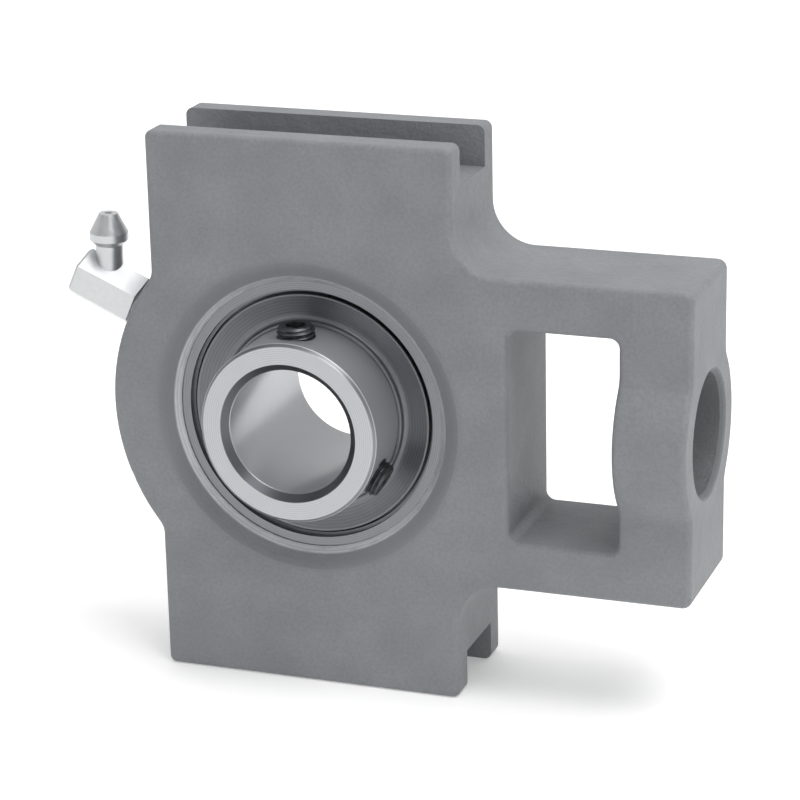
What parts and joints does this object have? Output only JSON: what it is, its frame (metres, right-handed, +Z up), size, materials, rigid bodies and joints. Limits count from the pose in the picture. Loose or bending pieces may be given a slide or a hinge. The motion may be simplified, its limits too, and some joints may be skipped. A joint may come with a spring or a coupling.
{
  "type": "take up bearing unit",
  "caption": "Cast take-up bearing unit: grooved guide plate and slotted adjusting arm round a self-aligning ball bearing insert with set screws and an angled grease nipple.",
  "frame": {"origin": "centre of the bearing, where the shaft axis crosses the middle plane of the housing", "axes": "+Y along the shaft axis to the rear, +X towards the adjusting screw, +Z up; the long side of the inner ring faces -Y"},
  "size_m": [0.1051, 0.0331, 0.089],
  "materials": {
    "casting": "grey enamel over a sand-cast surface",
    "bearing_steel": "ground bearing steel",
    "ball_steel": "polished",
    "cage_steel": "pressed steel strip",
    "shield_steel": "pressed and zinc plated",
    "seal_rubber": "moulded nitrile rubber",
    "black_steel": "black oxide",
    "zinc_plate": "bright zinc plate",
    "spring_steel": "drawn spring wire"
  },
  "bodies": {
    "housing": {"housing": "casting", "nipple_body": "zinc_plate", "nipple_spring": "spring_steel"},
    "locking_pin": {"locking_pin": "bearing_steel"},
    "outer_ring": {"outer_ring": "bearing_steel", "seal_shield_front": "shield_steel", "seal_shield_rear": "shield_steel", "seal_lip_front": "seal_rubber", "seal_lip_rear": "seal_rubber"},
    "inner_ring": {"inner_ring": "bearing_steel", "slinger_front": "shield_steel", "slinger_rear": "shield_steel"},
    "cage": {"cage_half_front": "cage_steel", "cage_half_rear": "cage_steel", "cage_rivets": "cage_steel"},
    "set_screw_1": {"set_screw_1": "black_steel"},
    "set_screw_2": {"set_screw_2": "black_steel"},
    "check_ball": {"nipple_ball": "ball_steel"},
    "ball_1": {"ball_1": "ball_steel"},
    "ball_2": {"ball_2": "ball_steel"},
    "ball_3": {"ball_3": "ball_steel"},
    "ball_4": {"ball_4": "ball_steel"},
    "ball_5": {"ball_5": "ball_steel"},
    "ball_6": {"ball_6": "ball_steel"},
    "ball_7": {"ball_7": "ball_steel"},
    "ball_8": {"ball_8": "ball_steel"}
  },
  "joints": [
    {"name": "align_pitch", "type": "hinge", "parent": "housing", "child": "locking_pin", "pos_m": [0, 0, 0], "axis": [1, 0, 0], "range_deg": [-2, 2]},
    {"name": "align_yaw", "type": "hinge", "parent": "locking_pin", "child": "outer_ring", "pos_m": [0, 0, 0], "axis": [0, 0, 1], "range_deg": [-2, 2]},
    {"name": "shaft_spin", "type": "hinge", "parent": "outer_ring", "child": "inner_ring", "pos_m": [0, 0, 0], "axis": [0, 1, 0], "continuous": true},
    {"name": "cage_spin", "type": "hinge", "parent": "outer_ring", "child": "cage", "pos_m": [0, 0, 0], "axis": [0, 1, 0], "continuous": true},
    {"name": "set_screw_1_slide", "type": "slide", "parent": "inner_ring", "child": "set_screw_1", "axis": [0, 0, 1], "range_m": [-0.0005, 0.003]},
    {"name": "set_screw_2_slide", "type": "slide", "parent": "inner_ring", "child": "set_screw_2", "axis": [0.866, 0, -0.5], "range_m": [-0.0005, 0.003]},
    {"name": "check_ball_slide", "type": "slide", "parent": "housing", "child": "check_ball", "axis": [-0.0262, 0, -0.9997], "range_m": [0, 0.0008], "stiffness_N_per_m": 100, "springref_m": -0.0005, "deforming": ["nipple_spring"]},
    {"name": "ball_1_spin", "type": "hinge", "parent": "cage", "child": "ball_1", "pos_m": [0.01675, 0, 0], "axis": [0, 1, 0], "continuous": true},
    {"name": "ball_2_spin", "type": "hinge", "parent": "cage", "child": "ball_2", "pos_m": [0.01184, 0, 0.01184], "axis": [0, 1, 0], "continuous": true},
    {"name": "ball_3_spin", "type": "hinge", "parent": "cage", "child": "ball_3", "pos_m": [0, 0, 0.01675], "axis": [0, 1, 0], "continuous": true},
    {"name": "ball_4_spin", "type": "hinge", "parent": "cage", "child": "ball_4", "pos_m": [-0.01184, 0, 0.01184], "axis": [0, 1, 0], "continuous": true},
    {"name": "ball_5_spin", "type": "hinge", "parent": "cage", "child": "ball_5", "pos_m": [-0.01675, 0, 0], "axis": [0, 1, 0], "continuous": true},
    {"name": "ball_6_spin", "type": "hinge", "parent": "cage", "child": "ball_6", "pos_m": [-0.01184, 0, -0.01184], "axis": [0, 1, 0], "continuous": true},
    {"name": "ball_7_spin", "type": "hinge", "parent": "cage", "child": "ball_7", "pos_m": [0, 0, -0.01675], "axis": [0, 1, 0], "continuous": true},
    {"name": "ball_8_spin", "type": "hinge", "parent": "cage", "child": "ball_8", "pos_m": [0.01184, 0, -0.01184], "axis": [0, 1, 0], "continuous": true}
  ],
  "couplings": [
    {"joint": "cage_spin", "follows": "shaft_spin", "ratio": 0.38152},
    {"joint": "ball_1_spin", "follows": "shaft_spin", "ratio": -1.9916},
    {"joint": "ball_2_spin", "follows": "shaft_spin", "ratio": -1.9916},
    {"joint": "ball_3_spin", "follows": "shaft_spin", "ratio": -1.9916},
    {"joint": "ball_4_spin", "follows": "shaft_spin", "ratio": -1.9916},
    {"joint": "ball_5_spin", "follows": "shaft_spin", "ratio": -1.9916},
    {"joint": "ball_6_spin", "follows": "shaft_spin", "ratio": -1.9916},
    {"joint": "ball_7_spin", "follows": "shaft_spin", "ratio": -1.9916},
    {"joint": "ball_8_spin", "follows": "shaft_spin", "ratio": -1.9916}
  ]
}
